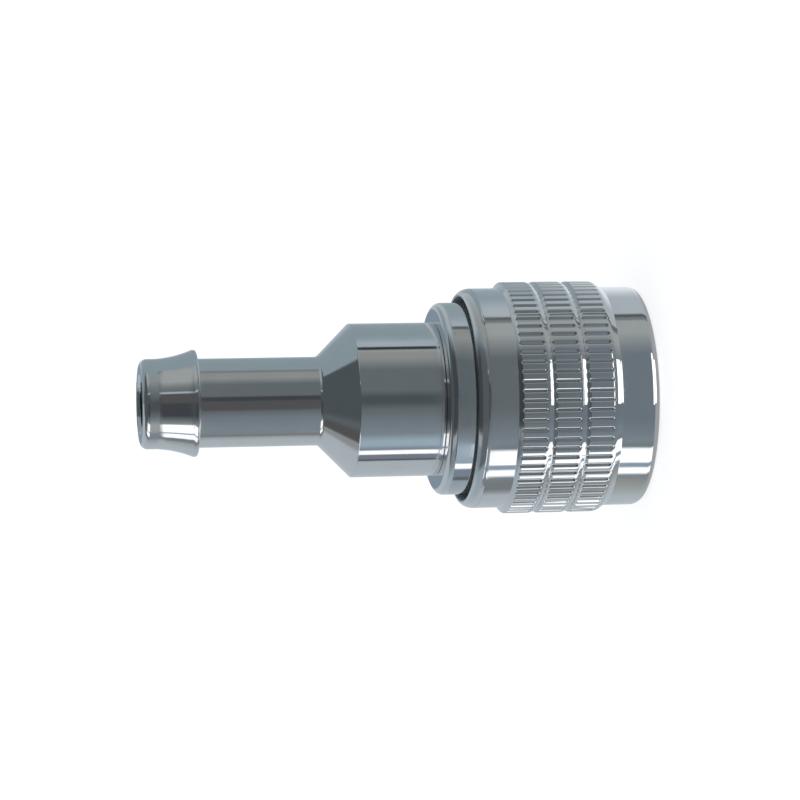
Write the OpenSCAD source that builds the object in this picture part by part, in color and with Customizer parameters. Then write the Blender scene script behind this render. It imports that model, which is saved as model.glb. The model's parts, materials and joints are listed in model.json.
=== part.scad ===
// Quick connector for an outboard fuel line: a ball lock socket with a knurled sleeve
// and a hose barb. It stands on its mouth: the sleeve's front face lies in the plane
// z = 0, the axis of the connector is the Z axis and the barb points up.

/* [Sleeve] */
// Length of the sleeve from its mouth face to its rear rim
sleeve_l = 19.45; // [18:0.05:21]
// Diameter of the sleeve's smooth bands
sleeve_d = 23.7; // [23.5:0.1:24.2]
// Diameter of the pocket that the sleeve's rear part runs over the flange with
pocket_d = 22; // [21.6:0.1:22.2]
// Radius of the mouth's outer edge
mouth_round = 1.2; // [0.6:0.1:1.4]
// Radius of the rear rim's outer edge
rim_round = 0.75; // [0.3:0.05:0.75]
// Depth of the recess in the mouth, from the mouth face to the stop shoulder
recess_depth = 1.8; // [1.7:0.05:1.95]
// Radial gap round the retaining ring in the recess
recess_gap = 0.25; // [0.15:0.05:0.4]
// Distance of the pocket's floor from the mouth face
pocket_floor = 8.6; // [7.6:0.1:9.2]
// Way that the sleeve is pulled back to let the plug go
sleeve_travel = 3; // [2.6:0.1:3.2]

/* [Knurl] */
// Diameter over the knurl
knurl_d = 25; // [24.6:0.1:25.6]
// Distance of the first knurled band from the mouth face
knurl_start = 5.05; // [4.6:0.05:5.4]
// Length of one knurled band
band_w = 2.68; // [2.4:0.02:2.8]
// Width of the groove between two bands
band_gap = 0.9; // [0.7:0.05:1]
// Number of knurled bands
band_count = 3; // [2:1:3]
// Length of the fall from a band into the groove behind it
band_fall = 0.3; // [0.2:0.01:0.35]
// Length of the fall from the last band to the smooth band behind it
end_fall = 0.4; // [0.2:0.05:0.6]
// Slope of the lead in front of the first band, in degrees
lead_angle = 35; // [30:1:42]
// Slope of the lead from a groove up to the next band, in degrees
groove_angle = 25; // [20:1:40]
// Number of straight teeth round the sleeve
tooth_count = 75; // [60:1:84]
// Width of the valley between two teeth
valley_w = 0.5; // [0.3:0.02:0.6]
// Slope of the valley's walls, in degrees
valley_angle = 40; // [30:1:50]

/* [Socket body] */
// Diameter of the plug that the socket takes
plug_d = 12; // [11.8:0.05:12.2]
// How much narrower the bore for the plug's tip is, on the radius
tip_step = 0.5; // [0.4:0.05:0.6]
// Wall of the body's neck round the plug
neck_wall = 2.1; // [2.06:0.01:2.12]
// How far the body's front end lies behind the sleeve's mouth face
front_inset = 0.3; // [0.2:0.05:0.4]
// How much wider than the plug the entry is, on the radius
entry_step = 0.15; // [0.1:0.01:0.25]
// How far the entry reaches past the ball holes
entry_rise = 0.15; // [0.1:0.05:0.4]
// Length of the lead from the entry into the bore for the plug's tip
entry_lead = 0.65; // [0.5:0.05:0.8]
// Chamfer at the entry
entry_chamfer = 0.5; // [0.3:0.05:0.7]
// Depth that the plug reaches, from the mouth face
plug_depth = 12.2; // [12:0.1:12.5]
// Diameter of the flange
flange_d = 20.7; // [20.2:0.1:20.9]
// Thickness of the flange
flange_t = 4.7; // [4.2:0.1:5]
// How far the flange stands out of the sleeve at rest
flange_shown = 2.85; // [2.6:0.05:3.4]
// Radius of the flange's rear edge
flange_round = 0.85; // [0.4:0.05:1]

/* [Ball lock] */
// Number of lock balls
ball_count = 6; // [6:1:6]
// Diameter of a lock ball
ball_d = 3; // [2.95:0.01:3.02]
// How far a lock ball stands out into the plug's groove
ball_reach = 0.75; // [0.6:0.01:0.78]
// How far the wall covers a ball that has gone back
ball_spare = 0.05; // [0.03:0.01:0.08]
// Distance of the balls from the mouth face
ball_z = 5.2; // [5.1:0.05:5.4]
// Slope of the seat that keeps a ball from falling through, in degrees
seat_angle = 20; // [15:1:24]

/* [Retaining ring] */
// Thickness of the retaining ring
ring_t = 0.8; // [0.6:0.05:0.85]
// How far the retaining ring stands out from the neck
ring_reach = 1.5; // [1.4:0.05:1.55]
// Depth of the ring's groove in the neck
ring_groove = 0.7; // [0.5:0.05:0.8]
// Angle of the ring's gap, in degrees
ring_gap = 28; // [15:1:50]

/* [Springs] */
// Wire diameter of the sleeve spring
sleeve_wire = 0.9; // [0.7:0.05:1]
// Turns of the sleeve spring
sleeve_turns = 5.5; // [4.5:0.5:6]
// Wire diameter of the valve spring
valve_wire = 0.5; // [0.4:0.05:0.6]
// Turns of the valve spring
valve_turns = 7; // [5:0.5:8]
// Mean diameter of the valve spring
valve_spring_d = 6.8; // [6.2:0.1:7.4]

/* [Seals] */
// Cord diameter of the plug seal
plug_seal_cord = 1.5; // [1.3:0.05:1.5]
// Distance of the plug seal from the mouth face
plug_seal_z = 10; // [9.6:0.05:10.3]
// How far the plug seal stands out into the bore for the plug's tip
plug_seal_bite = 0.2; // [0.1:0.02:0.3]
// Cord diameter of the valve seal
valve_seal_cord = 1; // [0.8:0.05:1.05]
// Cord diameter of the joint seal between the body and the adapter
joint_seal_cord = 1; // [0.8:0.05:1.2]
// How far the joint seal lies inside the shank's outer edge
joint_seal_inset = 0.3; // [0.1:0.05:0.6]

/* [Valve] */
// Diameter of the hole in front of the valve seat
seat_hole_d = 7.8; // [7.4:0.1:8]
// Length of the hole in front of the valve seat
seat_hole_l = 0.6; // [0.5:0.05:0.8]
// Diameter of the valve chamber
chamber_d = 10.4; // [10:0.1:10.8]
// Gap between the valve's cone and its seat
cone_gap = 0.25; // [0.15:0.01:0.3]
// Diameter of the valve's head
head_d = 9.2; // [8.8:0.1:9.3]
// Height of the valve's head above its cone
head_t = 1.45; // [1.2:0.05:1.6]
// Diameter of the valve's guide stem
valve_stem_d = 2.5; // [2.2:0.1:2.8]
// Diameter of the boss that centres the valve spring
boss_d = 4.5; // [4:0.1:5]
// Height of the boss that centres the valve spring
boss_l = 1; // [0.6:0.1:1.5]
// How far the valve's cone reaches into the hole in front of the seat
cone_lead = 0.7; // [0.4:0.05:1]
// How far the valve's stem stands out behind its guide
stem_rise = 0.6; // [0.4:0.05:1]
// Chamfer at both ends of the valve
tip_chamfer = 0.3; // [0.2:0.05:0.5]
// Diameter of the push pin on the valve's front
push_pin_d = 2.6; // [2:0.1:3]
// Distance of the push pin's tip from the mouth face
push_pin_z = 10.2; // [10:0.1:11]
// Way that the plug pushes the valve open
valve_travel = 2.5; // [2:0.1:2.8]

/* [Valve guide] */
// Thickness of the valve guide
guide_t = 1.6; // [1.2:0.1:2]
// Distance of the guide's front face from the flange's rear face
guide_rise = 1.3; // [0.8:0.1:1.8]
// Diameter of the guide's hub
guide_hub_d = 4.6; // [4.2:0.1:5]
// Number of the guide's spokes
guide_spokes = 3; // [3:1:4]
// Width of a spoke
spoke_w = 1.4; // [1:0.1:1.8]

/* [Hose adapter] */
// Diameter of the threaded shank inside the body
shank_d = 14; // [13.6:0.1:14.2]
// Length of the threaded shank
shank_l = 5.7; // [5.2:0.1:6]
// Diameter of the barrel
barrel_d = 16.5; // [15.5:0.1:18]
// Length of the barrel
barrel_l = 9.2; // [7:0.1:12]
// Slope of the cone between barrel and stem, in degrees
cone_angle = 45; // [35:1:60]
// Diameter of the stem, for a hose of 3/8 inch or 9.5 mm
stem_d = 9.5; // [9:0.1:10]
// Length of the stem, from the cone to the barb's back face
stem_l = 13; // [10:0.1:18]
// Radius of the fillet between cone and stem
stem_fillet = 0.6; // [0.3:0.05:1]
// Diameter over the barb's lip
lip_d = 11.4; // [11:0.1:12]
// Radius of the lip's back edge
lip_round = 0.4; // [0.2:0.05:0.5]
// Length of the hollow flare in front of the lip
flare_l = 3.9; // [3:0.1:5]
// Radius of the hollow flare's curve
flare_r = 12; // [9:0.5:20]
// Diameter of the nose
nose_d = 9.6; // [9.4:0.05:10]
// Length of the nose
nose_l = 1.7; // [1.2:0.1:2.5]
// Radius of the nose's end edge
nose_round = 0.8; // [0.4:0.05:1]
// Diameter of the fuel way through the stem
flow_d = 5.8; // [5:0.1:6.2]
// Diameter of the fuel way behind the valve guide
step_d = 8.4; // [7.6:0.1:8.8]
// Chamfer of the fuel way at the nose
flow_chamfer = 0.3; // [0.1:0.05:0.5]
// Length of the fuel way behind the valve guide
step_l = 2.8; // [2.5:0.1:4]

/* [Fits] */
// Radial clearance of the sleeve on the neck
slide_gap = 0.05; // [0.02:0.01:0.08]
// Play of a ball against the lock cone and its seat
ball_play = 0.03; // [0.02:0.01:0.05]
// Radial clearance of a ball in its hole
hole_gap = 0.05; // [0.04:0.01:0.08]
// Clearance of the retaining ring in its groove
ring_play = 0.05; // [0.02:0.01:0.08]
// Clearance between faces that rest on each other
face_gap = 0.02; // [0.01:0.01:0.04]
// Clearance of a seal in its groove
seal_gap = 0.02; // [0.01:0.01:0.04]
// Radial clearance of the valve's stem in its guide
stem_gap = 0.05; // [0.03:0.01:0.08]
// Radial clearance of the shank and the guide in their bores
press_gap = 0.03; // [0.01:0.01:0.05]

/* [Hidden] */
$fn = 96;

// Far enough past a face for a clean cut
past = 1;

// Sleeve and knurl
sleeve_r = sleeve_d / 2;
knurl_r = knurl_d / 2;
pocket_r = pocket_d / 2;
lead_l = (knurl_r - sleeve_r) / tan(lead_angle);
band_step = band_w + band_gap;
groove_depth = (band_gap - band_fall) * tan(groove_angle);
knurl_end = knurl_start + band_count * band_step - band_gap;
valley_depth = valley_w / 2 * tan(valley_angle);

// Body, measured up from the mouth face
plug_r = plug_d / 2;
entry_r = plug_r + entry_step;
bore_r = plug_r - tip_step;
neck_r = plug_r + neck_wall;
flange_rear = sleeve_l + flange_shown;
flange_front = flange_rear - flange_t;
guide_r = neck_r + slide_gap;

// Balls: the lock cone opens towards the mouth at the rate at which the balls go back
ball_r = ball_d / 2;
ball_ring_r = plug_r - ball_reach + ball_r;
ball_retreat = ball_reach + ball_spare;
cone_rate = ball_retreat / sleeve_travel;
lock_angle = atan(cone_rate);
lock_r = ball_ring_r + (ball_r + ball_play) / cos(lock_angle);
lock_end = ball_z + (lock_r - guide_r) / cone_rate;
hole_r = ball_r + hole_gap;
entry_depth = ball_z + hole_r + entry_rise;
seat_r = (ball_r + ball_play) / cos(seat_angle);

// Retaining ring: it holds the sleeve's stop shoulder
ring_top = recess_depth - face_gap;
ring_bottom = ring_top - ring_t;
ring_seat_r = neck_r - ring_groove;
ring_r = neck_r + ring_reach;
recess_r = ring_r + recess_gap;

// Sleeve spring, from the pocket's floor to the flange
sleeve_spring_r = (neck_r + pocket_r) / 2;

// Valve seat and chamber
seat_hole_r = seat_hole_d / 2;
chamber_r = chamber_d / 2;
seat_z = plug_depth + seat_hole_l;
seat_top = seat_z + chamber_r - seat_hole_r;
shank_bottom = flange_rear - shank_l;
well_floor = shank_bottom - joint_seal_cord;
shank_r = shank_d / 2;
well_r = shank_r + press_gap;
joint_seal_r = shank_r - joint_seal_inset - joint_seal_cord / 2;

// Valve: its cone lies parallel to the seat, both at 45 degrees
head_r = head_d / 2;
cone_shift = cone_gap * sqrt(2);
nose_cone_r = seat_hole_r - cone_lead;
nose_cone_z = seat_z + nose_cone_r - seat_hole_r + cone_shift;
head_edge_z = nose_cone_z + head_r - nose_cone_r;
head_top = head_edge_z + head_t;
valve_seal_r = seat_hole_r;
valve_seal_z = seat_z + (valve_seal_cord / 2 + seal_gap) * sqrt(2);
boss_r = boss_d / 2;
guide_z = flange_rear + guide_rise;
guide_top = guide_z + guide_t;
valve_stem_top = guide_top + stem_rise;
step_r = step_d / 2;
flow_r = flow_d / 2;
step_top = guide_top + step_l;
taper_l = (step_r - flow_r) / tan(30);

// Adapter, measured up from the mouth face
barrel_r = barrel_d / 2;
stem_r = stem_d / 2;
lip_r = lip_d / 2;
nose_r = nose_d / 2;
barrel_top = flange_rear + barrel_l;
cone_top = barrel_top + (barrel_r - stem_r) / tan(cone_angle);
lip_back = cone_top + stem_l;
lip_edge = lip_back + lip_round;
crease_z = lip_edge + flare_l;
nose_end = crease_z + nose_l;

// Cuts a round of the given radius at an outer corner of a profile, seen as radius and
// height. Side is 1 for an upper corner and -1 for a lower one.
module corner_cut(r, z, rad, side) {
    translate([r - rad, z - side * rad])
        difference() {
            translate([0, side > 0 ? 0 : -rad - past])
                square(rad + past);
            circle(rad);
        }
}

// A coil spring of round wire between two heights, with its end turns closed
module coil_spring(mean_r, wire_d, bottom, top, turns, steps, sides) {
    wire_r = wire_d / 2;
    // A polygon section is a little smaller than the wire, and so the end turns can
    // lie a twentieth of a wire apart and never touch
    closed_pitch = wire_d * 1.05;
    low = bottom + wire_r;
    high = top - wire_r;
    active = turns - 2;
    rise = high - low - 2 * closed_pitch;
    count = round(turns * steps);
    function height(t) =
        t < 1 ? low + closed_pitch * t
        : t > turns - 1 ? high - closed_pitch * (turns - t)
        : low + closed_pitch + rise * (t - 1) / active;
    points = [
        for (i = [0 : count])
            let (t = turns * i / count, a = 360 * t, z = height(t))
                for (s = [0 : sides - 1])
                    let (b = 360 * s / sides, r = mean_r + wire_r * cos(b))
                        [r * cos(a), r * sin(a), z + wire_r * sin(b)]
    ];
    walls = [
        for (i = [0 : count - 1], s = [0 : sides - 1])
            let (n = (s + 1) % sides, p = i * sides)
                [p + s, p + sides + s, p + sides + n, p + n]
    ];
    first_cap = [for (s = [0 : sides - 1]) s];
    last_cap = [for (s = [sides - 1 : -1 : 0]) count * sides + s];
    polyhedron(points, concat(walls, [first_cap, last_cap]), convexity = 8);
}

// A seal ring of round cord
module seal_ring(mean_r, cord, z) {
    translate([0, 0, z])
        rotate_extrude()
            translate([mean_r, 0])
                circle(cord / 2);
}

// Outline of the toothed ring, with a valley between each two teeth
function tooth_outline() =
    let (over = 0.1, half = valley_w / 2 + over / tan(valley_angle))
        [for (i = [0 : tooth_count - 1])
            let (a = 360 * i / tooth_count)
                for (p = [[knurl_r + over, -half], [knurl_r - valley_depth, 0], [knurl_r + over, half]])
                    [p[0] * cos(a) - p[1] * sin(a), p[0] * sin(a) + p[1] * cos(a)]];

// Profile of the knurled zone: a lead, a flat crest and a fall for each band
module knurl_profile() {
    crests = [
        for (b = [0 : band_count - 1])
            let (z = knurl_start + b * band_step, last = b == band_count - 1)
                for (p = [
                    [knurl_r, z],
                    [knurl_r, z + band_w],
                    last ? [sleeve_r, knurl_end + end_fall]
                        : [knurl_r - groove_depth, z + band_w + band_fall]
                ]) p
    ];
    inner = (pocket_r + sleeve_r) / 2;
    polygon(concat(
        [[inner, knurl_start - lead_l], [sleeve_r, knurl_start - lead_l]],
        crests,
        [[inner, knurl_end + end_fall]]
    ));
}

module sleeve_profile() {
    difference() {
        square([sleeve_r, sleeve_l]);
        corner_cut(sleeve_r, 0, mouth_round, -1);
        corner_cut(sleeve_r, sleeve_l, rim_round, 1);
        polygon([
            [0, -past],
            [recess_r, -past],
            [recess_r, recess_depth],
            [lock_r + (ball_z - recess_depth) * cone_rate, recess_depth],
            [guide_r, lock_end],
            [guide_r, pocket_floor],
            [pocket_r, pocket_floor],
            [pocket_r, sleeve_l + past],
            [0, sleeve_l + past]
        ]);
    }
}

module locking_sleeve() {
    color("silver")
        union() {
            rotate_extrude() sleeve_profile();
            intersection() {
                translate([0, 0, knurl_start - lead_l - past])
                    linear_extrude(knurl_end - knurl_start + lead_l + 2 * past)
                        polygon(tooth_outline());
                rotate_extrude() knurl_profile();
            }
        }
}

// One radial hole for a ball, with the taper that it rests on
module ball_hole() {
    // The flat end of the hole's tool has to lie inside the round bore
    inner = sqrt(plug_r * plug_r - hole_r * hole_r) - ball_spare;
    taper_end = ball_ring_r - (seat_r - hole_r) / tan(seat_angle);
    taper_start_r = seat_r - (ball_ring_r - inner) * tan(seat_angle);
    rotate([0, 90, 0]) {
        translate([0, 0, inner])
            cylinder(h = taper_end - inner, r1 = taper_start_r, r2 = hole_r);
        translate([0, 0, taper_end])
            cylinder(h = neck_r - taper_end + past, r = hole_r);
    }
}

module socket_body() {
    seal_groove_r = bore_r - plug_seal_bite + plug_seal_cord + seal_gap;
    seal_groove_w = plug_seal_cord + 2 * seal_gap;
    color("silver")
        difference() {
            rotate_extrude()
                difference() {
                    union() {
                        translate([0, front_inset])
                            square([neck_r, flange_rear - front_inset]);
                        translate([0, flange_front])
                            square([flange_d / 2, flange_t]);
                    }
                    corner_cut(flange_d / 2, flange_rear, flange_round, 1);
                    translate([ring_seat_r, ring_bottom - face_gap])
                        square([ring_groove + past, ring_t + face_gap + 2 * ring_play]);
                    polygon([
                        [0, front_inset - past],
                        [entry_r + entry_chamfer + past, front_inset - past],
                        [entry_r, front_inset + entry_chamfer],
                        [entry_r, entry_depth],
                        [bore_r, entry_depth + entry_lead],
                        [bore_r, plug_seal_z],
                        [plug_r, plug_seal_z],
                        [plug_r, plug_depth],
                        [seat_hole_r, plug_depth],
                        [seat_hole_r, seat_z],
                        [chamber_r, seat_top],
                        [chamber_r, well_floor],
                        [well_r, well_floor],
                        [well_r, flange_rear + past],
                        [0, flange_rear + past]
                    ]);
                    translate([bore_r - past, plug_seal_z - seal_groove_w / 2])
                        square([seal_groove_r - bore_r + past, seal_groove_w]);
                }
            for (i = [0 : ball_count - 1])
                rotate([0, 0, 360 * i / ball_count])
                    translate([0, 0, ball_z])
                        ball_hole();
        }
}

module lock_ball(i) {
    color("gainsboro")
        rotate([0, 0, 360 * i / ball_count])
            translate([ball_ring_r, 0, ball_z])
                sphere(ball_r);
}

module retaining_ring() {
    inner_r = ring_seat_r + ring_play;
    color("dimgray")
        difference() {
            translate([0, 0, ring_bottom])
                cylinder(h = ring_t, r = ring_r);
            translate([0, 0, ring_bottom - past])
                cylinder(h = ring_t + 2 * past, r = inner_r);
            translate([0, 0, ring_bottom - past])
                linear_extrude(ring_t + 2 * past)
                    polygon([
                        [0, 0],
                        2 * ring_r * [cos(90 - ring_gap / 2), sin(90 - ring_gap / 2)],
                        2 * ring_r * [cos(90 + ring_gap / 2), sin(90 + ring_gap / 2)]
                    ]);
        }
}

module sleeve_spring() {
    color("slategray")
        coil_spring(sleeve_spring_r, sleeve_wire, pocket_floor + face_gap,
            flange_front - face_gap, sleeve_turns, 20, 8);
}

module plug_seal() {
    color("black")
        seal_ring(bore_r - plug_seal_bite + plug_seal_cord / 2, plug_seal_cord, plug_seal_z);
}

module valve_seal() {
    color("black")
        seal_ring(valve_seal_r, valve_seal_cord, valve_seal_z);
}

module joint_seal() {
    color("black")
        seal_ring(joint_seal_r, joint_seal_cord, shank_bottom - joint_seal_cord / 2);
}

module valve_poppet() {
    color("goldenrod")
        rotate_extrude()
            difference() {
                polygon([
                    [0, push_pin_z],
                    [push_pin_d / 2 - tip_chamfer, push_pin_z],
                    [push_pin_d / 2, push_pin_z + tip_chamfer],
                    [push_pin_d / 2, nose_cone_z],
                    [nose_cone_r, nose_cone_z],
                    [head_r, head_edge_z],
                    [head_r, head_top],
                    [boss_r, head_top],
                    [boss_r, head_top + boss_l],
                    [valve_stem_d / 2, head_top + boss_l],
                    [valve_stem_d / 2, valve_stem_top - tip_chamfer],
                    [valve_stem_d / 2 - tip_chamfer, valve_stem_top],
                    [0, valve_stem_top]
                ]);
                translate([valve_seal_r, valve_seal_z])
                    circle(valve_seal_cord / 2 + seal_gap);
            }
}

module valve_spring() {
    color("slategray")
        coil_spring(valve_spring_d / 2, valve_wire, head_top + face_gap,
            guide_z - face_gap, valve_turns, 16, 6);
}

module valve_guide() {
    rim_r = chamber_r - press_gap;
    color("goldenrod")
        translate([0, 0, guide_z])
            difference() {
                union() {
                    difference() {
                        cylinder(h = guide_t, r = rim_r);
                        translate([0, 0, -past])
                            cylinder(h = guide_t + 2 * past, r = step_r);
                    }
                    cylinder(h = guide_t, r = guide_hub_d / 2);
                    for (i = [0 : guide_spokes - 1])
                        rotate([0, 0, 360 * i / guide_spokes])
                            translate([0, -spoke_w / 2, 0])
                                cube([(rim_r + step_r) / 2, spoke_w, guide_t]);
                }
                translate([0, 0, -past])
                    cylinder(h = guide_t + 2 * past, r = valve_stem_d / 2 + stem_gap);
            }
}

// The barb's lip and its hollow flare, cut by the circle through the lip and the crease
module barb_profile() {
    fall = lip_r - nose_r;
    chord = sqrt(fall * fall + flare_l * flare_l);
    reach = sqrt(flare_r * flare_r - chord * chord / 4);
    centre = [(lip_r + nose_r) / 2 + reach * flare_l / chord,
        (lip_edge + crease_z) / 2 + reach * fall / chord];
    difference() {
        translate([0, lip_back])
            square([lip_r, crease_z - lip_back]);
        corner_cut(lip_r, lip_back, lip_round, -1);
        translate(centre)
            circle(flare_r);
    }
    difference() {
        translate([0, crease_z - past])
            square([nose_r, nose_l + past]);
        corner_cut(nose_r, nose_end, nose_round, 1);
    }
}

// The fillet between the cone and the stem
module stem_fillet_profile() {
    tangent = stem_fillet * tan(cone_angle / 2);
    difference() {
        polygon([
            [stem_r - past, cone_top - tangent],
            [stem_r, cone_top],
            [stem_r + tangent * sin(cone_angle), cone_top - tangent * cos(cone_angle)],
            [stem_r + stem_fillet, cone_top + tangent],
            [stem_r - past, cone_top + tangent]
        ]);
        translate([stem_r + stem_fillet, cone_top + tangent])
            circle(stem_fillet);
    }
}

module hose_adapter() {
    color("silver")
        rotate_extrude()
            difference() {
                union() {
                    polygon([
                        [0, shank_bottom],
                        [shank_r, shank_bottom],
                        [shank_r, flange_rear],
                        [barrel_r, flange_rear],
                        [barrel_r, barrel_top],
                        [stem_r, cone_top],
                        [stem_r, lip_back + past],
                        [0, lip_back + past]
                    ]);
                    stem_fillet_profile();
                    barb_profile();
                }
                polygon([
                    [0, shank_bottom - past],
                    [chamber_r, shank_bottom - past],
                    [chamber_r, guide_top],
                    [step_r, guide_top],
                    [step_r, step_top],
                    [flow_r, step_top + taper_l],
                    [flow_r, nose_end - flow_chamfer],
                    [flow_r + flow_chamfer + past, nose_end + past],
                    [0, nose_end + past]
                ]);
            }
}

locking_sleeve();
socket_body();
hose_adapter();
retaining_ring();
sleeve_spring();
lock_ball(0);  // lock_ball_1
lock_ball(1);  // lock_ball_2
lock_ball(2);  // lock_ball_3
lock_ball(3);  // lock_ball_4
lock_ball(4);  // lock_ball_5
lock_ball(5);  // lock_ball_6
plug_seal();
valve_poppet();
valve_seal();
valve_spring();
valve_guide();
joint_seal();
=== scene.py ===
import json
from math import acos, ceil, cos, pi, radians, sin, tan
from random import Random

import bpy
import numpy as np
from mathutils import Matrix, Vector


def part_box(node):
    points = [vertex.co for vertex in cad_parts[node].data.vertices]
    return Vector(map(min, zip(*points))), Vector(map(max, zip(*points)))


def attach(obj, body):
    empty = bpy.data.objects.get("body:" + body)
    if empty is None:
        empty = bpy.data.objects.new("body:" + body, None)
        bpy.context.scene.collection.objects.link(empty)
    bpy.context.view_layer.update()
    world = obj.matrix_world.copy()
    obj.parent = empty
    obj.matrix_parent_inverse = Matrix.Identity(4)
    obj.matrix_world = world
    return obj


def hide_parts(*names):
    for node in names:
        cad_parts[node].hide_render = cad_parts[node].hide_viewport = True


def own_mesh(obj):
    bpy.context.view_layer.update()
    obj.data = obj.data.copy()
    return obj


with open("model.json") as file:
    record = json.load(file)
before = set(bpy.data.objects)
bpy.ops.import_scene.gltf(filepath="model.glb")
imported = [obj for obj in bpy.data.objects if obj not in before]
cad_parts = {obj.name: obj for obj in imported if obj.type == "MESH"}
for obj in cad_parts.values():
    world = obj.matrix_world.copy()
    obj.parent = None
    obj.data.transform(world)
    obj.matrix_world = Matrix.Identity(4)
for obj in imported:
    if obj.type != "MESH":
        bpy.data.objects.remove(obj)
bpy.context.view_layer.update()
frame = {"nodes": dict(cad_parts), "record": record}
nodes = frame["nodes"]

MM = 0.001

# Camera: fitted to the photograph
PICTURE_PX = 800
SENSOR_MM = 36.0
FOCAL_PX = 3160.0
CAMERA_DISTANCE = 340 * MM
CAMERA_TILT = radians(9.6)
CAMERA_ROLL = radians(1.05)
AIM = Vector((0.0, 0.0, 25.95 * MM))
# The part's middle lies this many pixels above the picture's middle
AIM_RISE_PX = 0.4
CLIP_NEAR = 0.01
CLIP_FAR = 20.0

# Locking sleeve, in mm from the mouth face
SLEEVE_L = 19.45
SLEEVE_R = 11.85
MOUTH_ROUND = 1.2
RIM_ROUND = 0.75
RIM_LENGTH = 1.25
RIM_STEPS = 12
RECESS_R = 9.85
RECESS_DEPTH = 1.8
LOCK_R = 9.239
LOCK_END = 5.884
GUIDE_R = 8.15
POCKET_FLOOR = 8.6
POCKET_R = 11.0

# Knurl, in mm
KNURL_R = 12.5
KNURL_START = 5.05
BAND_W = 2.68
BAND_STEP = 3.58
BANDS = 3
LEAD_ANGLE = radians(35)
GROOVE_ANGLE = radians(25)
BAND_FALL = 0.3
END_FALL = 0.4
GROOVE_DEPTH = (BAND_STEP - BAND_W - BAND_FALL) * tan(GROOVE_ANGLE)
# Rounds of the bands' front edges, from the mouth on
FRONT_ROUNDS = (1.0, 0.6, 0.6)
TEETH = 75
VALLEY_HALF = 0.25
VALLEY_SLOPE = tan(radians(43))
VALLEY_DEPTH = VALLEY_HALF * VALLEY_SLOPE
TOOTH_PHASE = radians(-0.6)
# What rolling and plating leave: crowned teeth, soft edges, valleys that run out, and small differences
TOOTH_CROWN = 0.003
EDGE_SOFT = 0.05
TOOTH_SPREAD = 0.006
TOOTH_SEED = 11
RUN_OUT = 0.35
RUN_OUT_RISE = VALLEY_DEPTH + 0.1
# All of the knurl lies between these heights
KNURL_SPAN = (3, 16)
# The valleys are closed for this long before each band, and open over the run-out behind its front edge
CLOSED_SPAN = 0.7
# Columns of points on each side of a valley's middle
VALLEY_COLUMNS = (0.045, 0.2, 0.25, 0.31)

# Flange of the socket body, in mm
FLANGE_R = 10.35

# Hose adapter, in mm from the mouth face
SHANK_R = 7.0
SHANK_Z = 16.6
BARREL_R = 8.25
BARREL_Z = 22.3
BARREL_TOP = 31.5
STEM_R = 4.75
STEM_Z = 35.0
STEM_FILLET = 0.6
LIP_R = 5.7
LIP_BACK = 48.0
LIP_EDGE = 48.4
LIP_ROUND = 0.4
LIP_LAND = 0.02
FLARE_R = 12.0
FLARE_CENTRE = (16.779, 53.010)
FLARE_STEPS = 16
CREASE_Z = 52.3
CREASE_ROUND = 0.3
NOSE_R = 4.8
NOSE_END = 54.0
NOSE_ROUND = 0.8
FLOW_R = 2.9
FLOW_CHAMFER = 0.3
TAPER_TOP = 30.252
STEP_R = 4.2
STEP_TOP = 28.0
CHAMBER_R = 5.2
CHAMBER_TOP = 25.2
ADAPTER_COLUMNS = 256

# Rounds of the small edges, in mm
SHARP = 0
HAIR_EDGE = 0.05
GROOVE_EDGE = 0.06
FOOT_EDGE = 0.08
EDGE = 0.1
MOUTH_EDGE = 0.12
TURNED_EDGE = 0.15

# Springs: wire in mm and turns, with end turns that lie almost wire on wire
SPRINGS = {"sleeve_spring": (0.9, 5.5), "valve_spring": (0.5, 7)}
CLOSED_PITCH = 1.05
WIRE_SIDES = 12
TURN_STEPS = 48


def add_camera():
    """Looks at the standing part from the side, turned so that its barb is to the left and nearer."""
    out = Vector((0.0, -cos(CAMERA_TILT), sin(CAMERA_TILT)))
    right = Vector((0.0, 0.0, -1.0))
    right = (right - out * right.dot(out)).normalized()
    up = out.cross(right)
    rolled_right = right * cos(CAMERA_ROLL) - up * sin(CAMERA_ROLL)
    rolled_up = right * sin(CAMERA_ROLL) + up * cos(CAMERA_ROLL)
    aim = AIM - rolled_up * (AIM_RISE_PX / FOCAL_PX * CAMERA_DISTANCE)
    data = bpy.data.cameras.new("camera")
    data.sensor_width = SENSOR_MM
    data.lens = SENSOR_MM * FOCAL_PX / PICTURE_PX
    data.clip_start = CLIP_NEAR
    data.clip_end = CLIP_FAR
    camera = bpy.data.objects.new("camera", data)
    bpy.context.scene.collection.objects.link(camera)
    place = aim + out * CAMERA_DISTANCE
    camera.matrix_world = Matrix((
        (rolled_right.x, rolled_up.x, out.x, place.x),
        (rolled_right.y, rolled_up.y, out.y, place.y),
        (rolled_right.z, rolled_up.z, out.z, place.z),
        (0.0, 0.0, 0.0, 1.0),
    ))
    bpy.context.scene.camera = camera


def add_mesh(name, vertices, faces, material=None):
    mesh = bpy.data.meshes.new(name)
    mesh.from_pydata(vertices, [], faces)
    mesh.update()
    obj = bpy.data.objects.new(name, mesh)
    bpy.context.scene.collection.objects.link(obj)
    if material:
        mesh.materials.append(material)
    return obj


# Turned pieces: a closed outline of radius and height runs round the axis.
# Arcs have fine steps, or coarse ones where they are small, and a corner that hardly turns gets no arc
FINE_STEP = radians(12)
COARSE_STEP = radians(30)
SMALL_ROUND = 0.12
LEAST_TURN = radians(2)
# The most of an edge that the arc at one of its ends may take
ARC_SHARE = 0.49
# Rows on the knurl's slopes lie this close together, in mm
SLOPE_STEP = 0.11
RUN_OUT_ROWS = 4
# Least radius of what counts as a band's top or as a slope
TOP_FROM = KNURL_R - 0.001
SLOPE_FROM = SLEEVE_R + 0.01


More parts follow.
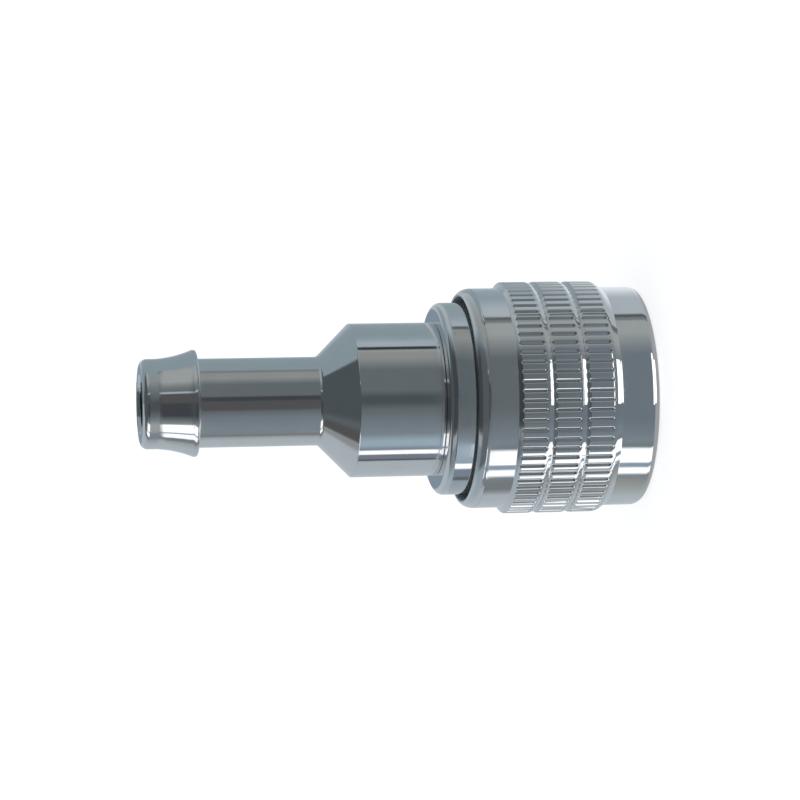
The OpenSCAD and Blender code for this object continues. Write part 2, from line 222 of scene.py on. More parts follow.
def rounded(corners):
    """Puts an arc of each corner's own radius in its place, in coarser steps where the radius is small."""
    points = []
    count = len(corners)
    for i, (r, z, radius) in enumerate(corners):
        here = np.array((r, z))
        back = np.array(corners[i - 1][:2]) - here
        ahead = np.array(corners[(i + 1) % count][:2]) - here
        back_l = np.linalg.norm(back)
        ahead_l = np.linalg.norm(ahead)
        if radius <= 0:
            points.append(here)
            continue
        step = COARSE_STEP if radius <= SMALL_ROUND else FINE_STEP
        back /= back_l
        ahead /= ahead_l
        turn = pi - acos(float(np.clip(back @ ahead, -1, 1)))
        if turn < LEAST_TURN:
            points.append(here)
            continue
        reach = min(radius * tan(turn / 2), ARC_SHARE * back_l, ARC_SHARE * ahead_l)
        radius = reach / tan(turn / 2)
        middle = back + ahead
        middle /= np.linalg.norm(middle)
        centre = here + middle * (radius / cos(turn / 2))
        steps = max(2, ceil(turn / step))
        start = here + back * reach - centre
        side = np.sign(back[0] * ahead[1] - back[1] * ahead[0])
        for k in range(steps + 1):
            a = -side * turn * k / steps
            points.append(centre + np.array((
                start[0] * cos(a) - start[1] * sin(a),
                start[0] * sin(a) + start[1] * cos(a),
            )))
    return np.array(points)


def turned(name, outline, angles, shape=None):
    """A closed ring of quads from an outline in mm, with a smooth normal at each point."""
    r = np.repeat(outline[None, :, 0], len(angles), axis=0)
    z = np.repeat(outline[None, :, 1], len(angles), axis=0)
    if shape:
        r = shape(r, z)
    a = np.asarray(angles)[:, None]
    places = np.stack((r * np.cos(a), r * np.sin(a), z), axis=-1)
    along = np.roll(places, -1, axis=1) - np.roll(places, 1, axis=1)
    around = np.roll(places, -1, axis=0) - np.roll(places, 1, axis=0)
    normals = np.cross(around, along)
    normals /= np.linalg.norm(normals, axis=-1, keepdims=True)
    columns, rows = r.shape
    index = np.arange(columns * rows).reshape(columns, rows)
    right = np.roll(index, -1, axis=0)
    up = np.roll(index, -1, axis=1)
    corner = np.roll(right, -1, axis=1)
    quads = np.stack((index, right, corner, up), axis=-1).reshape(-1, 4)
    obj = add_mesh(name, (places.reshape(-1, 3) * MM).tolist(), quads.tolist())
    obj.data.polygons.foreach_set("use_smooth", [True] * len(obj.data.polygons))
    obj.data.normals_split_custom_set_from_vertices(normals.reshape(-1, 3).tolist())
    return obj


def least(a, b, soft):
    """The lesser of two heights, with a soft edge where they meet."""
    h = np.maximum(soft - np.abs(a - b), 0) / soft
    return np.minimum(a, b) - h * h * soft / 4


def sleeve_outline():
    """Outside from the mouth to the rear rim, and back through the pocket, the guide and the lock cone."""
    lead_l = (KNURL_R - SLEEVE_R) / tan(LEAD_ANGLE)
    corners = [
        (RECESS_R, 0.0, MOUTH_EDGE),
        (SLEEVE_R, 0.0, MOUTH_ROUND),
        (SLEEVE_R, KNURL_START - lead_l, FOOT_EDGE),
    ]
    for b in range(BANDS):
        start = KNURL_START + b * BAND_STEP
        end = start + BAND_W
        corners += [(KNURL_R, start, FRONT_ROUNDS[b]), (KNURL_R, end, EDGE)]
        if b < BANDS - 1:
            corners.append((KNURL_R - GROOVE_DEPTH, end + BAND_FALL, GROOVE_EDGE))
    corners.append((SLEEVE_R, end + END_FALL, FOOT_EDGE))
    # The rear rim is rounded over more length than depth
    for k in range(RIM_STEPS + 1):
        turn = pi / 2 * k / RIM_STEPS
        r = SLEEVE_R - RIM_ROUND * (1 - cos(turn))
        z = SLEEVE_L - RIM_LENGTH * (1 - sin(turn))
        corners.append((r, z, SHARP))
    corners += [
        (POCKET_R, SLEEVE_L, HAIR_EDGE),
        (POCKET_R, POCKET_FLOOR, EDGE),
        (GUIDE_R, POCKET_FLOOR, EDGE),
        (GUIDE_R, LOCK_END, SHARP),
        (LOCK_R, RECESS_DEPTH, HAIR_EDGE),
        (RECESS_R, RECESS_DEPTH, HAIR_EDGE),
    ]
    points = rounded(corners)
    # Rows close enough together to draw the ends of the valleys
    fine = []
    for here, ahead in zip(points, np.roll(points, -1, axis=0)):
        fine.append(here)
        length = float(np.linalg.norm(ahead - here))
        lesser_r = min(here[0], ahead[0])
        if lesser_r > TOP_FROM and length > RUN_OUT:
            fine += [(KNURL_R, here[1] + RUN_OUT * k / RUN_OUT_ROWS) for k in range(1, RUN_OUT_ROWS + 1)]
        elif lesser_r > SLOPE_FROM:
            parts = ceil(length / SLOPE_STEP)
            fine += [here + (ahead - here) * k / parts for k in range(1, parts)]
    return np.array(fine)


def add_sleeve():
    """The sleeve, with nine columns of points in each valley of the knurl and one on each tooth."""
    pitch = 2 * pi / TEETH
    half_pitch = pitch * KNURL_R / 2
    top_half = half_pitch - VALLEY_HALF
    before = [-d for d in reversed(VALLEY_COLUMNS)]
    offsets = [-half_pitch, *before, 0.0, *VALLEY_COLUMNS]
    chance = Random(TOOTH_SEED)
    angles = []
    valley = []
    crown = []
    for tooth in range(TEETH):
        lean = chance.uniform(-1, 1) * TOOTH_SPREAD
        deep = chance.uniform(-1, 1) * TOOTH_SPREAD
        for d in offsets:
            angles.append(TOOTH_PHASE + tooth * pitch + d / KNURL_R)
            from_top = (half_pitch - abs(d)) / top_half
            signed = from_top if d > 0 else -from_top
            crown.append(TOOTH_CROWN * from_top ** 2 + lean * signed / 2 + abs(lean) / 2)
            valley.append(KNURL_R - VALLEY_DEPTH + deep + abs(d) * VALLEY_SLOPE)
    valley = np.array(valley)[:, None]
    crown = np.array(crown)[:, None]

    def knurled(r, z):
        """Crowns the teeth and cuts the valleys between them."""
        low, high = KNURL_SPAN
        share = np.clip((r - SLEEVE_R) / (KNURL_R - SLEEVE_R), 0, 1) * ((z > low) & (z < high))
        into_band = (z - KNURL_START + BAND_STEP) % BAND_STEP
        into_band = np.where(into_band > BAND_STEP - CLOSED_SPAN, into_band - BAND_STEP, into_band)
        run = np.clip(into_band / RUN_OUT, 0, 1)
        lift = RUN_OUT_RISE * (1 - run * (2 - run))
        return least(r - crown * share, valley + lift, EDGE_SOFT)

    sleeve = turned("sleeve_skin", sleeve_outline(), angles, knurled)
    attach(sleeve, "sleeve")
    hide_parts("locking_sleeve")
    return sleeve


def adapter_outline():
    """Outside from the shank up to the nose, and back down the fuel bore to the chamber below it."""
    flare = []
    for k in range(1, FLARE_STEPS):
        z = LIP_EDGE + (CREASE_Z - LIP_EDGE) * k / FLARE_STEPS
        rise = (FLARE_R ** 2 - (z - FLARE_CENTRE[1]) ** 2) ** 0.5
        flare.append((FLARE_CENTRE[0] - rise, z, SHARP))
    return rounded([
        (CHAMBER_R, SHANK_Z, EDGE),
        (SHANK_R, SHANK_Z, TURNED_EDGE),
        (SHANK_R, BARREL_Z, SHARP),
        (BARREL_R, BARREL_Z, EDGE),
        (BARREL_R, BARREL_TOP, TURNED_EDGE),
        (STEM_R, STEM_Z, STEM_FILLET),
        (STEM_R, LIP_BACK, EDGE),
        (LIP_R, LIP_BACK, LIP_ROUND),
        (LIP_R, LIP_EDGE + LIP_LAND, SHARP),
        *flare,
        (NOSE_R, CREASE_Z, CREASE_ROUND),
        (NOSE_R, NOSE_END, NOSE_ROUND),
        (FLOW_R + FLOW_CHAMFER, NOSE_END, FOOT_EDGE),
        (FLOW_R, NOSE_END - FLOW_CHAMFER, FOOT_EDGE),
        (FLOW_R, TAPER_TOP, SHARP),
        (STEP_R, STEP_TOP, SHARP),
        (STEP_R, CHAMBER_TOP, SHARP),
        (CHAMBER_R, CHAMBER_TOP, SHARP),
    ])


def add_adapter():
    """The hose adapter in one turned piece, with a finer outline than its node."""
    angles = [2 * pi * i / ADAPTER_COLUMNS for i in range(ADAPTER_COLUMNS)]
    adapter = turned("adapter_skin", adapter_outline(), angles)
    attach(adapter, "socket")
    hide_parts("hose_adapter")
    return adapter


def coil(name, low, high, wire, turns):
    """A coil spring of round wire with closed end turns, between the corners of its node's box."""
    steps = round(turns * TURN_STEPS)
    wire_r = wire / 2
    mean_r = high.x - wire_r
    first = low.z + wire_r
    last = high.z - wire_r
    pitch = wire * CLOSED_PITCH
    active_pitch = (last - first - 2 * pitch) / (turns - 2)
    vertices = []
    for i in range(steps + 1):
        turn = turns * i / steps
        if turn < 1:
            z = first + pitch * turn
        elif turn > turns - 1:
            z = last - pitch * (turns - turn)
        else:
            z = first + pitch + active_pitch * (turn - 1)
        for k in range(WIRE_SIDES):
            a = 2 * pi * k / WIRE_SIDES
            r = mean_r + wire_r * cos(a)
            vertices.append((r * cos(2 * pi * turn), r * sin(2 * pi * turn), z + wire_r * sin(a)))
    faces = []
    for i in range(steps):
        for k in range(WIRE_SIDES):
            here = i * WIRE_SIDES + k
            beside = i * WIRE_SIDES + (k + 1) % WIRE_SIDES
            faces.append((here, here + WIRE_SIDES, beside + WIRE_SIDES, beside))
    last_ring = steps * WIRE_SIDES
    faces.append(tuple(range(WIRE_SIDES)))
    faces.append(tuple(reversed(range(last_ring, last_ring + WIRE_SIDES))))
    spring = add_mesh(name, vertices, faces)
    spring.data.polygons.foreach_set("use_smooth", [len(face) == 4 for face in faces])
    return spring


def add_springs():
    """A coil of true wire for each node that a joint deforms, riding on that node's body in the node's
    place.
    """
    behaviour = frame["record"]["behaviour"]
    springs = []
    for joint in behaviour["joints"]:
        for soft in joint.get("deforming_nodes", []):
            node = soft["node"]
            low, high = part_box(node)
            wire, turns = SPRINGS[node]
            spring = coil(node + "_coil", low, high, wire * MM, turns)
            body = next(name for name, held in behaviour["bodies"].items() if node in held)
            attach(spring, body)
            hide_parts(node)
            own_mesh(spring)
            springs.append(spring)
    return springs


class Nodes:
    """A short way to build the node tree of a material or of the world."""

    def __init__(self, owner):
        owner.use_nodes = True
        self.tree = owner.node_tree
        self.tree.nodes.clear()

    def add(self, kind, **values):
        """A node with its settings and inputs by name, with an underscore for each space in a name."""
        node = self.tree.nodes.new("ShaderNode" + kind)
        for key, value in values.items():
            if hasattr(node, key):
                setattr(node, key, value)
            else:
                node.inputs[key.replace("_", " ")].default_value = value
        return node

    def link(self, source, target, into=0):
        """Joins a node, or a pair of a node and one of its outputs, to an input of another node."""
        node, out = source if isinstance(source, tuple) else (source, 0)
        self.tree.links.new(node.outputs[out], target.inputs[into])

    def math(self, operation, *values):
        """A math node, whose values are numbers or what link takes as a source."""
        node = self.add("Math", operation=operation)
        for i, value in enumerate(values):
            if isinstance(value, (int, float)):
                node.inputs[i].default_value = value
            else:
                self.link(value, node, i)
        return node

    def noise(self, place, values):
        """Noise over the piece's own coordinates."""
        node = self.add("TexNoise", **values)
        self.link((place, "Object"), node, "Vector")
        return node

    def bump(self, height, strength, distance):
        node = self.add("Bump", Strength=strength, Distance=distance)
        self.link(height, node, "Height")
        return node

    def tint(self, source, first, second):
        """A colour between two, by the source's value."""
        node = self.add("ValToRGB")
        for element, colour in zip(node.color_ramp.elements, (first, second)):
            element.color = (*colour, 1.0)
        self.link(source, node)
        return node


# Finish of the metals: colour, roughness, and the rings' width and depth and the waves' depth in mm
METALS = {
    "chrome_plate": ((0.66, 0.67, 0.68), 0.06, 0.22, 0.0008, 0.004),
    "spring_steel": ((0.42, 0.42, 0.43), 0.3, 0.08, 0.001, 0.002),
    "ball_steel": ((0.62, 0.62, 0.63), 0.1, 0.1, 0.0001, 0.001),
    "bare_brass": ((0.72, 0.55, 0.27), 0.25, 0.12, 0.001, 0.002),
}
RINGS = {"noise_dimensions": "1D", "Detail": 3.0, "Roughness": 0.65}
WAVES = {"Scale": 180.0, "Detail": 2.0, "Roughness": 0.4}
SMEARS = {"Scale": 420.0, "Detail": 4.0, "Roughness": 0.6}
# How fast the rings follow one another across a flat face, against along the axis
RING_SLANT = 1.37
# Least and most of the roughness and of the colour, as shares
ROUGHNESS_SPREAD = (0.6, 1.4)
COLOUR_SPREAD = (0.93, 1.05)
# The wall of the sleeve's pocket is plated, but not polished, up to just below the rim
POCKET_ROUGHNESS = 0.5
POCKET_SLACK = 0.03
POLISHED_RIM = 0.08

# Rubber of the seals, with the depth of its grain in mm
RUBBER = ((0.022, 0.022, 0.024), (0.04, 0.04, 0.041))
RUBBER_ROUGHNESS = 0.55
GRAIN = {"Scale": 9000.0, "Detail": 3.0}
GRAIN_STRENGTH = 0.4
GRAIN_DEPTH = 0.004


def metal(name, colour, roughness, ring_width, ring_depth, wave_depth):
    """A turned metal: fine rings round the axis, a slight waviness, and a finish that varies a little."""
    material = bpy.data.materials.new(name)
    n = Nodes(material)
    shader = n.add("BsdfPrincipled", Metallic=1.0)
    place = n.add("TexCoord")
    split = n.add("SeparateXYZ")
    n.link((place, "Object"), split)
    x, y, z = [(split, axis) for axis in "XYZ"]
    radius = n.math("SQRT", n.math("ADD", n.math("MULTIPLY", x, x), n.math("MULTIPLY", y, y)))
    rings = n.add("TexNoise", Scale=1.0 / (ring_width * MM), **RINGS)
    n.link(n.math("MULTIPLY_ADD", radius, RING_SLANT, z), rings, "W")
    ring_bump = n.bump(rings, 1.0, ring_depth * MM)
    wave_bump = n.bump(n.noise(place, WAVES), 1.0, wave_depth * MM)
    n.link(ring_bump, wave_bump, "Normal")
    n.link(wave_bump, shader, "Normal")
    smears = n.noise(place, SMEARS)
    least_rough, most_rough = [roughness * share for share in ROUGHNESS_SPREAD]
    finish = n.add("MapRange", To_Min=least_rough, To_Max=most_rough)
    n.link(smears, finish)
    wall = n.math("COMPARE", radius, POCKET_R * MM, POCKET_SLACK * MM)
    below_rim = n.math("LESS_THAN", z, (SLEEVE_L - POLISHED_RIM) * MM)
    dull = n.math("MULTIPLY", n.math("MULTIPLY", wall, below_rim), POCKET_ROUGHNESS)
    n.link(n.math("ADD", finish, dull), shader, "Roughness")
    darkest, lightest = [[min(1.0, c * share) for c in colour] for share in COLOUR_SPREAD]
    n.link(n.tint(smears, darkest, lightest), shader)
    n.link(shader, n.add("OutputMaterial"))
    return material


def rubber():
    """Matt black rubber with a fine grain."""
    material = bpy.data.materials.new("seal_rubber")
    n = Nodes(material)
    shader = n.add("BsdfPrincipled", Roughness=RUBBER_ROUGHNESS)
    grain = n.noise(n.add("TexCoord"), GRAIN)
    n.link(n.tint(grain, *RUBBER), shader)
    n.link(n.bump(grain, GRAIN_STRENGTH, GRAIN_DEPTH * MM), shader, "Normal")
    n.link(shader, n.add("OutputMaterial"))
    return material


def dress(skins, springs):
    """Gives each node the material of its slot, and the pieces that replace nodes theirs."""
    made = {name: metal(name, *finish) for name, finish in METALS.items()}
    made["seal_rubber"] = rubber()
    for part in frame["record"]["subparts"]:
        obj = nodes[part["node"]]
        obj.data.materials.clear()
        obj.data.materials.append(made[part["material_slot"]])
    for skin in skins:
        skin.data.materials.append(made["chrome_plate"])
    for spring in springs:
        spring.data.materials.append(made["spring_steel"])


# Studio: the chrome shows the floor and walls round the part, so glowing panels lie there that paint its
# reflections and show nowhere else
FLOOR_R = 4.0
FLOOR_SIDES = 64
FLOOR_COLOUR = (0.8, 0.8, 0.8)
FLOOR_GLOW = 0.66
FAN_STEPS = 360
WALL_R = 1.5
WALL_STEPS = 120
# Heights of the walls' rows of points in degrees, with the last one just beside the top
WALL_ROWS = (0, 5, 10, 20, 30, 40, 50, 60, 70, 80, 89.9)
LIGHT_COLOUR = (0.8, 0.82, 0.85)
LIGHT_STRENGTH = 0.6

# Tones of the painted reflections, as the panels glow with them before the chrome darkens them
BRIGHT = (2.2, 2.2, 2.2)
WHITE = (1.7, 1.7, 1.7)
FOAM = (0.90, 0.97, 1.02)
PALE = (0.56, 0.62, 0.66)
SKY = (0.50, 0.58, 0.63)
SKY_DEEP = (0.38, 0.46, 0.52)
DIM = (0.34, 0.42, 0.46)
BACK = (0.27, 0.33, 0.40)
CREAM = (0.46, 0.49, 0.48)
CREAM_DIM = (0.37, 0.39, 0.38)
MIST = (0.28, 0.33, 0.37)
ASH = (0.26, 0.285, 0.29)
GREY = (0.175, 0.203, 0.22)
GREY_FRONT = (0.215, 0.255, 0.29)
GREY_BLUE = (0.235, 0.275, 0.305)
SHADE = (0.15, 0.18, 0.20)
HAZE = (0.35, 0.44, 0.55)
ICE = (0.45, 0.57, 0.66)
PURPLE = (0.25, 0.285, 0.355)
STORM = (0.095, 0.117, 0.128)
UMBER = (0.12, 0.118, 0.122)
COAL = (0.072, 0.078, 0.09)
LINE = (0.12, 0.14, 0.145)
# A thin dark streak that the panels paint into the barrel's reflection
DARK_STREAK = (0.05, 0.055, 0.06)

# Angle on the metal, from the side facing the camera, and the tone of its painted reflection, from top to
# bottom.
# The painted highlight is the same on the front and the rear of the sleeve
PAINTED_HIGHLIGHT = [
    (-28, GREY_BLUE), (-29, WHITE), (-37.5, WHITE), (-38, HAZE), (-40.5, HAZE), (-41, WHITE),
    (-44.2, WHITE),
]
FRONT_BAND = [
    (90, FOAM), (75, FOAM), (63, PALE), (47.7, PALE), (46.9, LINE), (45.2, LINE), (44.5, ASH), (43, ASH),
    (42.2, CREAM), (35, CREAM), (22, GREY_FRONT), (-13, GREY_FRONT), (-24, MIST), *PAINTED_HIGHLIGHT, (-46, MIST),
    (-50, CREAM_DIM), (-57, CREAM), (-66, PALE), (-90, PALE),
]
REAR_BAND = [
    (90, PALE), (74, SKY_DEEP), (64, SKY_DEEP), (56, SKY), (52, PALE), (46.9, PALE), (46.1, LINE),
    (44.7, LINE), (44.1, ASH), (42.6, ASH), (41.8, CREAM), (35, CREAM), (21, GREY), (-6, GREY),
    (-16, GREY_BLUE), (-24, MIST), *PAINTED_HIGHLIGHT, (-46, MIST), (-50, ASH), (-56, ASH), (-62, PALE), (-90, PALE),
]
FLANGE = [
    (90, SKY_DEEP), (74, DIM), (58, SKY_DEEP), (51, SKY), (48.5, SKY), (47.8, LINE), (46, LINE),
    (45, CREAM_DIM), (38, CREAM_DIM), (32, ASH), (23, SHADE), (-4, SHADE), (-16, GREY), (-24, MIST),
    (-31, ICE), (-40, ICE), (-42, BACK), (-42.6, WHITE), (-46, WHITE), (-47, BACK), (-53, BACK),
    (-55, SHADE), (-57, SHADE), (-58.5, SKY_DEEP), (-90, PALE),
]
BARREL = [
    (90, PALE), (76, DIM), (57, DIM), (52, SKY_DEEP), (47.5, SKY), (43.5, SKY), (42.9, DARK_STREAK), (40.7, DARK_STREAK),
    (39.8, CREAM), (37.5, CREAM_DIM), (33, CREAM_DIM), (23, GREY), (7, GREY), (2, STORM), (-2, STORM),
    (-7, GREY), (-16, GREY_BLUE), (-26, MIST), (-32, ICE), (-36, ICE), (-39.5, BACK), (-40.6, BACK),
    (-41, WHITE), (-44.3, WHITE), (-44.8, PURPLE), (-49.6, PURPLE), (-50.2, LINE), (-51.4, LINE),
    (-52.4, PALE), (-90, PALE),
]
STEM = [
    (90, PALE), (76, DIM), (47, DIM), (44, ASH), (42.5, ASH), (41, CREAM_DIM), (33, CREAM_DIM),
    (24, GREY), (8.5, GREY), (6.5, COAL), (3, COAL), (1, UMBER), (-9, UMBER), (-12, GREY),
    (-20, GREY_BLUE), (-36, MIST), (-44, MIST), (-47, ASH), (-48.5, ASH), (-51, CREAM), (-57, PALE),
    (-90, PALE),
]
NOSE = [
    (90, PALE), (76, DIM), (40, DIM), (30, CREAM_DIM), (20, GREY_BLUE), (8, SHADE), (1, STORM),
    (-7, STORM), (-16, GREY), (-22, MIST), (-27, CREAM), (-36, CREAM), (-42, MIST), (-49, MIST),
    (-54, CREAM), (-62, PALE), (-90, PALE),
]
RIM = [
    (90, PALE), (38, SKY), (31, MIST), (25, LINE), (20, COAL), (-14, COAL), (-17, LINE), (-20, CREAM),
    (-24, CREAM), (-27, MIST), (-37, MIST), (-42, SKY_DEEP), (-50, SKY), (-90, PALE),
]
RIM_FOOT = [
    (90, PALE), (38, CREAM_DIM), (31, MIST), (26, SHADE), (20, LINE), (-12, LINE), (-17, SHADE),
    (-38, SHADE), (-42, SKY_DEEP), (-90, PALE),
]
WALL_LOW = [
    (90, BACK), (87.5, BACK), (86, PALE), *STEM[1:-1], (-86, PALE), (-87.5, BACK), (-90, BACK),
]
WALL_MIDDLE = [
    (90, BACK), (87.5, BACK), (86, PALE), (76, DIM), (48, DIM), (43, CREAM), (28, CREAM), (21, ASH),
    (15, GREY), (14.3, PALE), (12.8, PALE), (12, UMBER), (2, UMBER), (-1, COAL), (-15, COAL), (-20, GREY),
    (-26.3, CREAM_DIM), (-27.3, WHITE), (-37.4, WHITE), (-38.4, HAZE), (-39.4, HAZE), (-40.4, WHITE),
    (-45.5, WHITE), (-47, PURPLE), (-51, PURPLE), (-54, CREAM), (-62, PALE), (-86, PALE), (-87.5, BACK),
    (-90, BACK),
]
WALL_HIGH = [
    (90, MIST), (64, DIM), (53.2, DIM), (52.2, STORM), (47, STORM), (-30, STORM), (-41, GREY),
    (-47, UMBER), (-53.2, UMBER), (-54.2, CREAM_DIM), (-57.5, CREAM_DIM), (-60, PALE), (-90, PALE),
]
WALL_TOP = [(90, STORM), (0, STORM), (-90, STORM)]

# Height on the walls in degrees, and the tones of the painted reflections there
WALLS = [
    (3, WALL_LOW), (6, WALL_MIDDLE), (30, WALL_MIDDLE), (44, WALL_HIGH), (66, WALL_HIGH), (76, WALL_TOP),
]

# Floor panels that paint reflections, from the part outwards: the radius of the metal that shows each, how
# far from that metal it ends in mm, and its tones by share of that distance
FLOOR_PANELS = {
    "sleeve_panel": (SLEEVE_R, 98, [(0.18, FRONT_BAND), (0.6, REAR_BAND)]),
    "flange_panel": (FLANGE_R, 120.5, [(0, FLANGE)]),
    "barrel_panel": (BARREL_R, 225, [(0, BARREL)]),
    "barb_panel": (STEM_R, 1500, [(0.31, STEM), (0.36, NOSE)]),
}
# The first panel starts this far from the metal
PANELS_START = 0.5

# Glowing cards low in front, which paint highlights between two angles on the metal
CARD_ANGLES = (-4, 18)
CARD_STEPS = 12
# Edges of each card: distance and height in mm, and how much the slope turns the view round the axis
CARD_EDGES = [
    [(11.9, 0.02, 1.06), (12.4, 0.02, 1.1), (12.65, 0.02, 1.36), (13.5, 0.02, 1.36)],
    [(14.2, 4.0, 1.35), (14.8, 4.0, 1.35)],
    [(16.5, 3.0, 1.6), (17.3, 3.0, 1.6)],
]
# The dark card behind, which paints a dark reflection, in mm: half its width, its distance, and its lowest
# and highest edge
DARK_CARD_HALF = 2.8
DARK_CARD_Y = 60
DARK_CARD_Z = (25, 75)

# The card over the rear rim, which paints the rim's reflection: its near and far edge and the near edge's
# height in mm, how steeply it falls outwards, and how much it turns the view round the axis. Its tones go
# by share of its width
RIM_CARD_NEAR = 10.45
RIM_CARD_FAR = 23.0
RIM_CARD_Z = 22.28
RIM_CARD_FALL = 0.185
RIM_CARD_TURN = 1.3
RIM_CARD_STEPS = 120
RIM_CARD_ROWS = [(0.19, RIM), (0.3, RIM_FOOT)]

# Sockets of a Mix node that mixes colours
MIX_FIRST = 6
MIX_SECOND = 7
MIX_RESULT = 2


def ramp(n, source, stops):
    """A colour ramp over the angles -90 to 90."""
    node = n.add("ValToRGB")
    ordered = sorted((0.5 + angle / 180, tone) for angle, tone in stops)
    elements = node.color_ramp.elements
    for i, (place, tone) in enumerate(ordered):
        element = elements[i] if i < 2 else elements.new(place)
        element.position = place
        element.color = (*tone, 1.0)
    n.link(source, node)
    return node


def panel_material(name, rows):
    """Glowing tones of painted reflections by angle, on one row or on several that blend into each other
    with height.
    """
    material = bpy.data.materials.new(name)
    n = Nodes(material)
    split = n.add("SeparateXYZ")
    n.link(n.add("UVMap"), split)
    across = (split, "X")
    height = (split, "Y")
    colour = ramp(n, across, rows[0][1])
    for (low, _), (high, stops) in zip(rows, rows[1:]):
        share = n.add("MapRange", From_Min=low, From_Max=high)
        n.link(height, share)
        mix = n.add("Mix", data_type="RGBA")
        n.link(share, mix, "Factor")
        n.link(colour, mix, MIX_FIRST)
        n.link(ramp(n, across, stops), mix, MIX_SECOND)
        colour = (mix, MIX_RESULT)
    glow = n.add("Emission", Strength=1.0)
    n.link(colour, glow)
    n.link(glow, n.add("OutputMaterial"))
    return material


def plain_glow(name, tone):
    """One glowing tone all over, for a painted reflection."""
    material = bpy.data.materials.new(name)
    n = Nodes(material)
    n.link(n.add("Emission", Color=(*tone, 1.0), Strength=1.0), n.add("OutputMaterial"))
    return material


def only_reflected(obj):
    """Makes a panel show in reflections and nowhere else."""
    obj.visible_camera = False
    obj.visible_diffuse = False
    obj.visible_shadow = False


def add_strip(name, columns, material):
    """A panel of columns of points, with their share of the way across and their height as coordinates."""
    vertices = []
    faces = []
    coords = []
    rows = len(columns[0])
    for i, column in enumerate(columns):
        for j, (place, height) in enumerate(column):
            vertices.append(place)
            coords.append((i / (len(columns) - 1), height))
            if i and j:
                k = i * rows + j
                faces.append((k - rows - 1, k - rows, k, k - 1))
    panel = add_mesh(name, vertices, faces, material)
    layer = panel.data.uv_layers.new(name="angle")
    for face in panel.data.polygons:
        for loop, vertex in zip(face.loop_indices, face.vertices):
            layer.data[loop].uv = coords[vertex]
    only_reflected(panel)


def hit_point(radius, angle, reach):
    """Where on the floor a far viewer sees a cylinder of this radius reflect at this angle."""
    turn = radians(angle)
    x = radius * sin(turn) + reach * sin(2 * turn)
    y = -radius * cos(turn) - reach * cos(2 * turn)
    return (x * MM, y * MM, 0.0)


def around_front(reach, angle, height):
    """A place from its distance and height in mm and its angle from the front."""
    return (reach * MM * sin(angle), -reach * MM * cos(angle), height * MM)


def add_fan(name, radius, near, far, rows):
    """A panel on the floor round the part, which paints reflections with tones by angle on the metal and by
    share of the reach.
    """
    columns = []
    for i in range(FAN_STEPS + 1):
        angle = -90 + 180 * i / FAN_STEPS
        columns.append([(hit_point(radius, angle, reach), reach / far) for reach in (near, far)])
    add_strip(name, columns, panel_material(name, rows))


def add_walls():
    """A glowing dome in place of walls and ceiling, which paints the metal's reflections and goes dark
    overhead in front.
    """
    columns = []
    for i in range(WALL_STEPS + 1):
        azimuth = radians(-180 + 360 * i / WALL_STEPS)
        column = []
        for el in WALL_ROWS:
            flat = WALL_R * cos(radians(el))
            column.append(((flat * sin(azimuth), -flat * cos(azimuth), WALL_R * sin(radians(el))), el / 90))
        columns.append(column)
    add_strip("walls", columns, panel_material("walls", [(el / 90, stops) for el, stops in WALLS]))


def add_cards():
    """Glowing cards low in front, which paint highlights on the mouth's round and the leads, and a dark one
    behind, which paints a dark reflection.
    """
    bright = plain_glow("bright_card", BRIGHT)
    first, last = CARD_ANGLES
    for edges in CARD_EDGES:
        columns = []
        for i in range(CARD_STEPS + 1):
            angle = radians(first + (last - first) * i / CARD_STEPS)
            columns.append([(around_front(reach, angle * turn, z), 0.0) for reach, z, turn in edges])
        add_strip("card", columns, bright)
    # The flat rear faces show this one as a painted dark reflection
    columns = []
    for x in (-DARK_CARD_HALF, DARK_CARD_HALF):
        columns.append([((x * MM, DARK_CARD_Y * MM, z * MM), 0.0) for z in DARK_CARD_Z])
    add_strip("card", columns, plain_glow("dark_card", STORM))


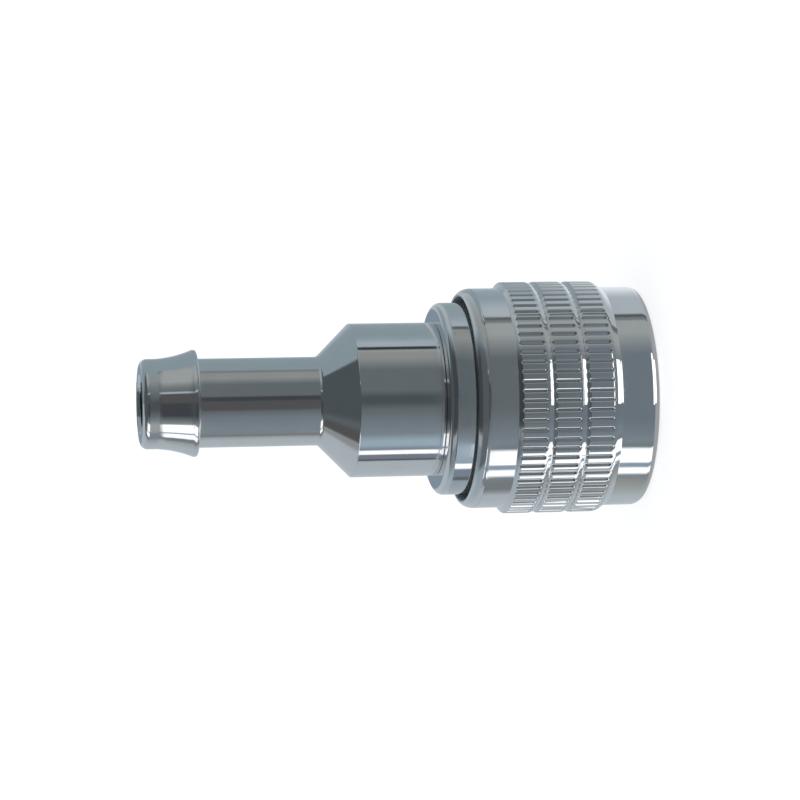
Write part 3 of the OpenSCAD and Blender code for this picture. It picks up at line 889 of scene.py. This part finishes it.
def add_rim_card():
    """A glowing card over the sleeve's rear rim, in line with the view, so that only the rim's round shows
    it, as a painted reflection.
    """
    columns = []
    for i in range(RIM_CARD_STEPS + 1):
        angle = radians(-90 + 180 * i / RIM_CARD_STEPS) * RIM_CARD_TURN
        column = []
        for share in (0.0, 1.0):
            out = (RIM_CARD_FAR - RIM_CARD_NEAR) * share
            height = RIM_CARD_Z - out * RIM_CARD_FALL
            column.append((around_front(RIM_CARD_NEAR + out, angle, height), share))
        columns.append(column)
    add_strip("rim_card", columns, panel_material("rim_card", RIM_CARD_ROWS))


def floor_material():
    """A matt pale floor, which also glows where the camera sees it, so that it comes out white."""
    material = bpy.data.materials.new("floor")
    n = Nodes(material)
    path = n.add("LightPath")
    matt = n.add("BsdfDiffuse", Color=(*FLOOR_COLOUR, 1.0))
    glow = n.add("Emission", Color=(1.0, 1.0, 1.0, 1.0), Strength=FLOOR_GLOW)
    both = n.add("AddShader")
    mix = n.add("MixShader")
    n.link(matt, both, 0)
    n.link(glow, both, 1)
    n.link((path, "Is Camera Ray"), mix, 0)
    n.link(matt, mix, 1)
    n.link(both, mix, 2)
    n.link(mix, n.add("OutputMaterial"))
    return material


def add_floor():
    """The floor, which reflections don't see, and the panels that they see in its place."""
    turns = [2 * pi * i / FLOOR_SIDES for i in range(FLOOR_SIDES)]
    ring = [(FLOOR_R * cos(turn), FLOOR_R * sin(turn), 0.0) for turn in turns]
    floor = add_mesh("floor", ring, [tuple(range(FLOOR_SIDES))], floor_material())
    floor.visible_glossy = False
    near = PANELS_START
    for name, (radius, far, rows) in FLOOR_PANELS.items():
        add_fan(name, radius, near, far, rows)
        near = far


def add_world():
    """Plain light all round, and a white background for the camera alone."""
    world = bpy.data.worlds.new("world")
    bpy.context.scene.world = world
    n = Nodes(world)
    path = n.add("LightPath")
    light = n.add("Background", Color=(*LIGHT_COLOUR, 1.0), Strength=LIGHT_STRENGTH)
    back = n.add("Background", Color=(1.0, 1.0, 1.0, 1.0), Strength=1.0)
    mix = n.add("MixShader")
    n.link((path, "Is Camera Ray"), mix, 0)
    n.link(light, mix, 1)
    n.link(back, mix, 2)
    n.link(mix, n.add("OutputWorld"))


add_camera()
dress([add_sleeve(), add_adapter()], add_springs())
add_floor()
add_walls()
add_cards()
add_rim_card()
add_world()

bpy.context.scene.view_settings.view_transform = "Standard"
